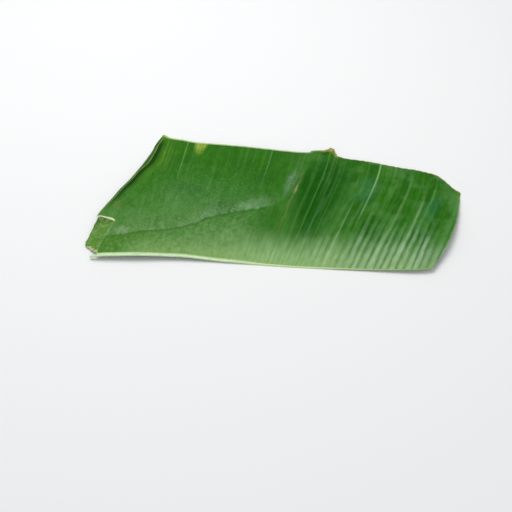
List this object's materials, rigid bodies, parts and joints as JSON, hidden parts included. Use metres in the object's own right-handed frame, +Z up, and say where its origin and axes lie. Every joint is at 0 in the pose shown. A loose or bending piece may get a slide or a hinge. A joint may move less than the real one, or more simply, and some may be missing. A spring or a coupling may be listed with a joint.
{
  "type": "banana leaf",
  "caption": "Cut sheet of fresh banana leaf, half of the blade with its midrib edge, shallow vein pleats, a fold, a slit and a loose flap.",
  "frame": {"origin": "centre of the bounding box in plan, at the level of the lowest points of the back face", "axes": "+X along the midrib edge toward the leaf's tip, +Y across the blade from the midrib edge to the natural margin, +Z up out of the upper face"},
  "size_m": [0.467, 0.2406, 0.0215],
  "materials": {
    "fresh_leaf": "satin"
  },
  "bodies": {
    "root": {"banana_leaf": "fresh_leaf"}
  },
  "joints": []
}
